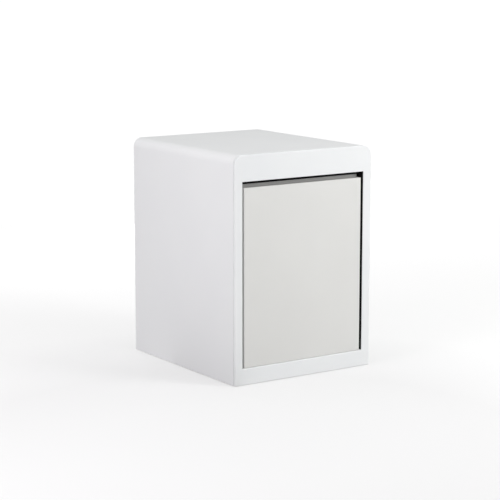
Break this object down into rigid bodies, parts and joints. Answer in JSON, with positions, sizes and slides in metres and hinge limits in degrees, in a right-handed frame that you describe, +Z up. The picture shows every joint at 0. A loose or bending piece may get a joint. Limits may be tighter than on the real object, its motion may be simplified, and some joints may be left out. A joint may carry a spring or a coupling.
{
  "type": "parcel locker",
  "caption": "Single-compartment parcel locker: round-shouldered sheet-steel cabinet with a flush hinged door, finger channel and hidden motor lock.",
  "frame": {"origin": "on the floor, under the middle of the cabinet", "axes": "+X to the right as seen from the front, +Y from the door to the back, +Z up"},
  "size_m": [0.45, 0.524, 0.62],
  "materials": {
    "casing_white": "white powder coat, fine satin",
    "door_white": "warm light grey powder coat, satin",
    "frame_black": "black powder coat, matt",
    "panel_grey": "mid grey powder coat, matt",
    "liner_grey": "light grey powder coat, satin",
    "zinc_steel": "zinc plated sheet steel",
    "bright_steel": "turned and plated steel",
    "rubber_black": "black EPDM rubber",
    "mat_rubber": "ribbed grey-black rubber",
    "black_plastic": "moulded ABS, fine texture",
    "nylon_natural": "natural nylon",
    "board_green": "glass-fibre circuit board with solder mask"
  },
  "bodies": {
    "cabinet": {"casing_wrap": "casing_white", "front_fascia": "casing_white", "back_panel": "casing_white", "cable_grommet": "rubber_black", "back_screws": "bright_steel", "base_pan": "zinc_steel", "floor_glides": "black_plastic", "hinge_post": "frame_black", "lock_post": "casing_white", "stop_frame": "frame_black", "door_seal": "rubber_black", "upper_hinge_bracket": "frame_black", "lower_hinge_bracket": "frame_black", "pivot_pins": "bright_steel", "thrust_washer": "nylon_natural", "bracket_screws": "bright_steel", "left_liner": "liner_grey", "right_liner": "liner_grey", "ceiling_panel": "liner_grey", "compartment_floor": "liner_grey", "floor_mat": "mat_rubber", "controller_case": "black_plastic", "controller_lid": "black_plastic", "circuit_board": "board_green", "lock_lead": "rubber_black", "lead_clips": "black_plastic", "lock_case": "zinc_steel", "lock_lid": "zinc_steel", "lock_motor": "bright_steel", "door_switch": "black_plastic"},
    "door": {"door_skin": "door_white", "door_inner_panel": "panel_grey", "grip_channel": "panel_grey", "door_stiffener": "zinc_steel", "pivot_blocks": "nylon_natural", "striker": "zinc_steel", "door_buffers": "rubber_black", "door_magnet": "bright_steel"},
    "bolt": {"lock_bolt": "bright_steel"}
  },
  "joints": [
    {"name": "door_hinge", "type": "hinge", "parent": "cabinet", "child": "door", "pos_m": [0.1799, -0.2515, 0.29], "axis": [0, 0, 1], "range_deg": [0, 105]},
    {"name": "bolt_slide", "type": "slide", "parent": "cabinet", "child": "bolt", "axis": [1, 0, 0], "range_m": [0, 0.0095]}
  ]
}
